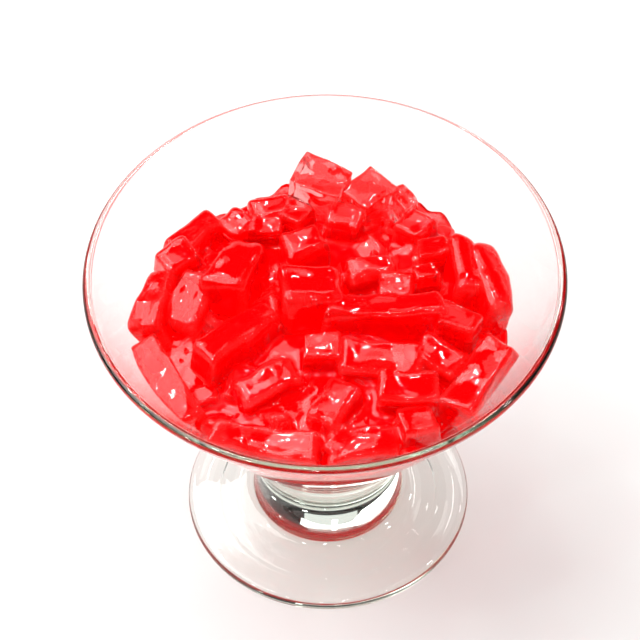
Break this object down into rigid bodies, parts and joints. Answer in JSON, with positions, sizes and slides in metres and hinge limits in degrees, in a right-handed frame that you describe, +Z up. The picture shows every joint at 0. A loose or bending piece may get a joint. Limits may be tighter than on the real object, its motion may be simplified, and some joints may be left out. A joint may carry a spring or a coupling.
{
  "type": "dessert glass of cut jelly",
  "caption": "Clear footed glass dish with a flared bowl, filled with a heap of cut pieces of glossy red jelly.",
  "frame": {"origin": "centre of the foot's underside, on the surface the dish stands on", "axes": "+Z up along the dish's axis; the dish is round about it, and -Y is the side it is looked at from"},
  "size_m": [0.114, 0.114, 0.089],
  "materials": {
    "glass": "clear, polished",
    "jelly": "wet, glossy, translucent"
  },
  "bodies": {
    "root": {"glass_dish": "glass", "jelly_heap": "jelly"}
  },
  "joints": []
}
